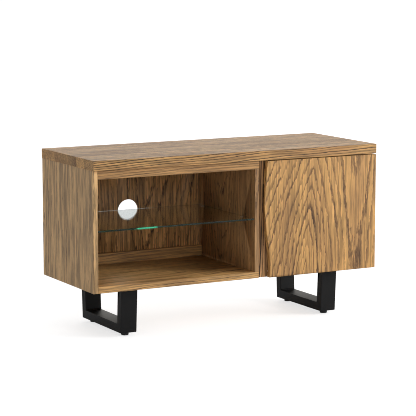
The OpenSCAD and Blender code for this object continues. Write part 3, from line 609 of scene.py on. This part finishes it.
def measure_peg(corners):
    """Head centre, direction into the wood, length, head radius, head height and shank radius."""
    low = Vector([min(c[i] for c in corners) for i in range(3)])
    high = Vector([max(c[i] for c in corners) for i in range(3)])
    size, middle = high - low, (low + high) / 2
    axis = max(range(3), key=lambda i: size[i])
    others = [i for i in range(3) if i != axis]

    def radius(corner):
        return math.hypot(corner[others[0]] - middle[others[0]], corner[others[1]] - middle[others[1]])

    near_low = max(radius(c) for c in corners if c[axis] < low[axis] + 0.0002)
    near_high = max(radius(c) for c in corners if c[axis] > high[axis] - 0.0002)
    into = Vector((0, 0, 0))
    into[axis] = 1.0 if near_low > near_high else -1.0
    head = middle.copy()
    head[axis] = low[axis] if into[axis] > 0 else high[axis]
    shank = min(near_low, near_high)
    depths = [abs(c[axis] - head[axis]) for c in corners if radius(c) < 1.05 * shank]
    head_height = min(d for d in depths if d > 0.0003)
    return head, into, size[axis], max(near_low, near_high), head_height, shank


head, into, length, wide, tall, shank = measure_peg(pegs_of("back_panel_screws")[0])
print("a back screw:", [round(1000 * v, 2) for v in (length, wide, tall, shank)], "mm")

# %% Build one screw
TURN = 20


def ring_of(made, radius, z, pitch=0.0, depth=0.0):
    """A ring of corners at height z. With a pitch, its crest has climbed as far as z says."""
    corners = []
    for k in range(TURN):
        angle = 2 * math.pi * k / TURN
        climb = abs(((z / pitch + k / TURN) % 1.0) - 0.5) * 2 if pitch else 0.0
        wide = radius - depth * climb
        corners.append(made.verts.new((wide * math.cos(angle), wide * math.sin(angle), z)))
    return corners


def skin_between(made, upper, lower):
    for k, corner in enumerate(upper):
        after = (k + 1) % len(upper)
        made.faces.new((corner, upper[after], lower[after], lower[k]))


def socket_outline(kind, radius):
    if kind == "six-sided":
        return [(radius * math.cos(math.pi * k / 3), radius * math.sin(math.pi * k / 3)) for k in range(6)]
    half, reach = 0.26 * radius, radius
    arm = [(half, half), (reach, half), (reach, -half)]
    outline = []
    for quarter in range(4):
        c, s = math.cos(math.pi / 2 * quarter), -math.sin(math.pi / 2 * quarter)
        outline += [(round(c * x - s * y, 9), round(s * x + c * y, 9)) for x, y in arm]
    return outline


def build_screw(length, head, head_height, shank, sunk, socket, pitch):
    """It points down from the origin, where the flat face of its head is."""
    made = bmesh.new()
    edge = 0.06 * head
    face = ring_of(made, head - edge, 0.0)
    rings = [face, ring_of(made, head, -edge)]
    if not sunk:
        rings.append(ring_of(made, head, -head_height))
    rings.append(ring_of(made, shank, -head_height * (1.0 if sunk else 1.001)))
    z = -head_height - pitch
    while z > -length + 1.8 * shank:
        rings.append(ring_of(made, shank, z, pitch, 0.26 * shank))
        z -= pitch / 4
    rings.append(ring_of(made, 0.74 * shank, -length + 1.5 * shank))
    rings.append(ring_of(made, (0.12 if sunk else 0.62) * shank, -length))
    for upper, lower in zip(rings, rings[1:]):
        skin_between(made, upper, lower)
    made.faces.new(rings[-1])
    outline = socket_outline(socket, 0.56 * head)
    rim = [made.verts.new((x, y, 0.0)) for x, y in outline]
    floor = [made.verts.new((0.82 * x, 0.82 * y, -0.62 * head_height)) for x, y in outline]
    skin_between(made, rim, floor)
    made.faces.new(floor)
    loops = [made.edges.get((a, b)) for loop in (face, rim) for a, b in zip(loop, loop[1:] + loop[:1])]
    bmesh.ops.triangle_fill(made, use_beauty=True, edges=loops)
    bmesh.ops.recalc_face_normals(made, faces=made.faces)
    return made


# %% Replace a set of pegs with screws
def as_piece(name, made, finish, body, crease=32):
    mesh = bpy.data.meshes.new(name)
    made.to_mesh(mesh)
    made.free()
    mesh.shade_smooth()
    mesh.set_sharp_from_angle(angle=math.radians(crease))
    mesh.materials.append(finish)
    piece = bpy.data.objects.new(name, mesh)
    bpy.context.scene.collection.objects.link(piece)
    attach(piece, body)
    return piece


def set_in(group, one, head, into, spin):
    """Adds a screw to the group, with its head's face at head, driven towards into, turned by spin."""
    turn = (-into).to_track_quat("Z", "Y").to_matrix().to_4x4()
    place = Matrix.Translation(head) @ turn @ Matrix.Rotation(spin, 4, "Z")
    bmesh.ops.transform(one, matrix=place, verts=one.verts)
    carrier = bpy.data.meshes.new("one screw")
    one.to_mesh(carrier)
    one.free()
    group.from_mesh(carrier)
    bpy.data.meshes.remove(carrier)


def screws_for(name, body, finish, sunk=True, socket="cross", pitch=0.0016):
    group = bmesh.new()
    pegs = pegs_of(name)
    for count, corners in enumerate(pegs):
        head, into, length, wide, tall, shank = measure_peg(corners)
        one = build_screw(length, wide, tall, shank, sunk, socket, pitch)
        set_in(group, one, head, into, 0.7 * count)
    piece = as_piece(name + "_threaded", group, finish, body)
    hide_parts(name)
    return len(pegs)


driven = {}
for name in ("back_panel_screws", "tie_screws", "hinge_plate_screws", "catch_screws"):
    driven[name] = screws_for(name, "cabinet", METAL["zinc"])
for name in ("hinge_cup_screws", "strike_screws"):
    driven[name] = screws_for(name, "door", METAL["zinc"])
driven["top_screws"] = screws_for("top_screws", "cabinet", METAL["zinc"], sunk=False)
driven["frame_bolts"] = screws_for("frame_bolts", "cabinet", METAL["black coat"],
                                   sunk=False, socket="six-sided", pitch=0.001)
print("screws:", driven)

# %% [markdown]
# ## Adjusting screws of the hinges
#
# A concealed hinge has two screws in its arm: the front one moves the door sideways and
# the rear one holds the arm on its plate. They stand in the two blind holes of the arm.

# %% Put two screws in each arm
PLATE_T, ARM_WIDTH = 0.004, 0.010
ARM_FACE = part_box("cupboard_right_side")[0].x - PLATE_T - ARM_WIDTH
HEAD_DEPTH = 0.0004


def arm_screws(name):
    low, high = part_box(name)
    height = (low.z + high.z) / 2
    group = bmesh.new()
    for from_back, spin in ((0.009, 0.3), (0.036, 1.1)):
        one = build_screw(0.0034, 0.0024, 0.0016, 0.0015, False, "cross", 0.0008)
        head = Vector((ARM_FACE + HEAD_DEPTH, high.y - from_back, height))
        set_in(group, one, head, Vector((1, 0, 0)), spin)
    return as_piece(name + "_adjusting_screws", group, METAL["zinc"], "cabinet")


for name in ("lower_hinge_arm", "upper_hinge_arm"):
    arm_screws(name)
print("adjusting screws stand at x =", round(ARM_FACE, 4))

# %% [markdown]
# ## Weld beads of the runner frames
#
# Each frame is welded from flat-sided tube and a plate. In every inner corner a bead of
# weld metal fills the angle: a rounded strip whose surface is rippled, because the weld
# was laid drop by drop. It is powder coated with the rest.

# %% Lay a bead in each inner corner
PLATE_UNDER, TUBE_T = 0.005, 0.030


def lay_bead(made, start, end, side_a, side_b, leg=0.0042):
    """A bead from start to end. side_a and side_b point along its two faces, away from the corner."""
    steps, arc = 48, 6
    rows = []
    for k in range(steps + 1):
        along = k / steps
        ripple = 1.0 + 0.10 * math.cos(2 * math.pi * 15 * along)
        taper = min(1.0, 0.55 + 8 * min(along, 1 - along))
        reach = leg * ripple * taper
        centre = start.lerp(end, along)
        row = [made.verts.new(centre - 0.0003 * (side_a + side_b))]
        for j in range(arc + 1):
            angle = math.pi / 2 * j / arc
            bulge = 1.0 - 0.24 * math.sin(2 * angle)
            outward = math.cos(angle) * side_a + math.sin(angle) * side_b
            row.append(made.verts.new(centre + reach * bulge * outward))
        rows.append(row)
    for one, two in zip(rows, rows[1:]):
        skin_between(made, one, two)
    made.faces.new(rows[0])
    made.faces.new(rows[-1])


def frame_beads(name):
    low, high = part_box(name)
    made = bmesh.new()
    inset = 0.0015
    corners = sorted({(round(c.y, 5), round(c.z, 5)) for c in pegs_of(name)[0]})
    under_plate = high.z - PLATE_UNDER
    bar_top = low.z + TUBE_T
    for level, up in ((under_plate, -1.0), (bar_top, 1.0)):
        level_ys = {y for y, z in corners if abs(z - level) < 0.0004}
        ys = sorted(y for y in level_ys if low.y + 0.02 < y < high.y - 0.02)
        for y, away in ((ys[0], 1.0), (ys[-1], -1.0)):
            start, end = Vector((low.x + inset, y, level)), Vector((high.x - inset, y, level))
            lay_bead(made, start, end, Vector((0, away, 0)), Vector((0, 0, up)))
    bmesh.ops.recalc_face_normals(made, faces=made.faces)
    return as_piece(name + "_weld_beads", made, METAL["black coat"], "cabinet", 60)


for name in FRAMES:
    bead = frame_beads(name)
    print(bead.name, "has", len(bead.data.vertices), "corners")

# %% [markdown]
# ## The studio
#
# The stand is on a pale floor in even white light. One large soft lamp stands far to its
# right, so far round that it brightens the front and never shines straight into the
# open bay, which stays dark. A second one, high behind the stand, lays a pale sheen on
# the top. The floor glows a little towards the viewer, as a light table does, so that
# only the closest shadows show on it.

# %% Floor
FLOOR_GLOW = 0.66
GLOW_THROUGH_GLASS = 0.15


def studio_floor():
    size = 70.0
    mesh = bpy.data.meshes.new("studio_floor")
    corners = [(-size, -size, 0), (size, -size, 0), (size, size, 0), (-size, size, 0)]
    mesh.from_pydata(corners, [], [(0, 1, 2, 3)])
    floor = bpy.data.objects.new("studio_floor", mesh)
    bpy.context.scene.collection.objects.link(floor)
    f = Finish("studio floor")
    place = f.add("TexCoord").outputs["Object"]
    cloudy = f.noise(f.vector("MULTIPLY", place, (2.0, 2.0, 2.0)), 2.0)
    paint = f.blend(f.between(cloudy, 0.3, 0.7), (0.79, 0.80, 0.815, 1.0), (0.81, 0.82, 0.835, 1.0))
    rough = f.between(cloudy, 0.3, 0.7, 0.85, 0.95)
    shader = f.add("BsdfPrincipled", None, Base_Color=paint, Roughness=rough)
    glow = f.add("Emission", None, Strength=FLOOR_GLOW)
    none = f.add("Emission", None, Strength=0.0)
    path = f.add("LightPath").outputs
    through = f.calc("MULTIPLY", path["Is Transmission Ray"], GLOW_THROUGH_GLASS)
    seen = f.calc("MAXIMUM", path["Is Camera Ray"], through)
    light = f.add("MixShader", None, Fac=seen)
    f.tree.links.new(none.outputs[0], light.inputs[1])
    f.tree.links.new(glow.outputs[0], light.inputs[2])
    both = f.add("AddShader")
    f.tree.links.new(shader.outputs[0], both.inputs[0])
    f.tree.links.new(light.outputs[0], both.inputs[1])
    end = f.add("OutputMaterial")
    f.tree.links.new(both.outputs[0], end.inputs["Surface"])
    mesh.materials.append(f.material)
    return floor


studio_floor()
print("floor is down")

# %% Lamps and sky
def soft_lamp(name, place, aim, width, height, power, shade=(1.0, 1.0, 1.0)):
    lamp = bpy.data.lights.new(name, "AREA")
    lamp.shape = "RECTANGLE"
    lamp.size, lamp.size_y = width, height
    lamp.energy = power
    lamp.color = shade
    holder = bpy.data.objects.new(name, lamp)
    holder.location = place
    holder.rotation_euler = (Vector(aim) - Vector(place)).to_track_quat("-Z", "Y").to_euler()
    bpy.context.scene.collection.objects.link(holder)
    return holder


SKY_LIMITS = {"From Min": 0.08, "From Max": 0.45, "To Min": 1.0, "To Max": 0.42}
MIRRORED = 0.66
world = bpy.data.worlds.new("studio light")
bpy.context.scene.world = world
world.use_nodes = True
sky = world.node_tree
height = sky.nodes.new("ShaderNodeSeparateXYZ")
dim = sky.nodes.new("ShaderNodeMapRange")
dim.interpolation_type = "SMOOTHSTEP"
for name, number in SKY_LIMITS.items():
    dim.inputs[name].default_value = number
bent = sky.nodes.new("ShaderNodeMath")
bent.operation = "SUBTRACT"
bent.use_clamp = True
softer = sky.nodes.new("ShaderNodeMath")
softer.operation = "MULTIPLY_ADD"
softer.inputs[1].default_value = MIRRORED - 1.0
softer.inputs[2].default_value = 1.0
level = sky.nodes.new("ShaderNodeMath")
level.operation = "MULTIPLY"
ray = sky.nodes.new("ShaderNodeLightPath").outputs
sky.links.new(ray["Is Glossy Ray"], bent.inputs[0])
sky.links.new(ray["Is Transmission Ray"], bent.inputs[1])
sky.links.new(bent.outputs[0], softer.inputs[0])
sky.links.new(sky.nodes.new("ShaderNodeTexCoord").outputs["Generated"], height.inputs[0])
sky.links.new(height.outputs["Z"], dim.inputs["Value"])
sky.links.new(dim.outputs[0], level.inputs[0])
sky.links.new(softer.outputs[0], level.inputs[1])
sky.links.new(level.outputs[0], sky.nodes["Background"].inputs["Strength"])
sky.nodes["Background"].inputs["Color"].default_value = (1.0, 1.0, 1.0, 1.0)
MIDDLE = (0.0, 0.0, 0.35)
soft_lamp("key lamp", (4.6, -2.9, 1.9), MIDDLE, 2.4, 2.0, 155)
soft_lamp("back lamp", (3.4, 6.6, 3.3), MIDDLE, 5.0, 2.4, 89, (1.0, 0.96, 0.89))
bpy.context.scene.view_settings.view_transform = "Standard"
bpy.context.scene.cycles.filter_width = 1.0
bpy.context.scene.cycles.max_bounces = 16
bpy.context.scene.cycles.glossy_bounces = 12
bpy.context.scene.cycles.transmission_bounces = 16

# %% [markdown]
# ## The camera
#
# The stand is seen from its left front corner, a little from above, through a long lens
# from far away, as a catalogue does: the uprights stay nearly upright and the far end
# is only a little smaller.

# %% Place the camera
AZIMUTH, ELEVATION = math.radians(28.393), math.radians(8.260)
DISTANCE, LENS = 6.4387, 158.72
AIM = Vector((-0.00907, 0.00490, 0.39112))
camera = bpy.data.cameras.new("camera")
camera.lens = LENS
camera.sensor_width = 36.0
camera.clip_end = 200.0
viewer = bpy.data.objects.new("camera", camera)
towards = Vector((math.sin(AZIMUTH) * math.cos(ELEVATION), math.cos(AZIMUTH) * math.cos(ELEVATION),
                  -math.sin(ELEVATION)))
viewer.location = AIM - towards * DISTANCE
viewer.rotation_euler = towards.to_track_quat("-Z", "Y").to_euler()
bpy.context.scene.collection.objects.link(viewer)
bpy.context.scene.camera = viewer
print("camera at", [round(v, 3) for v in viewer.location])
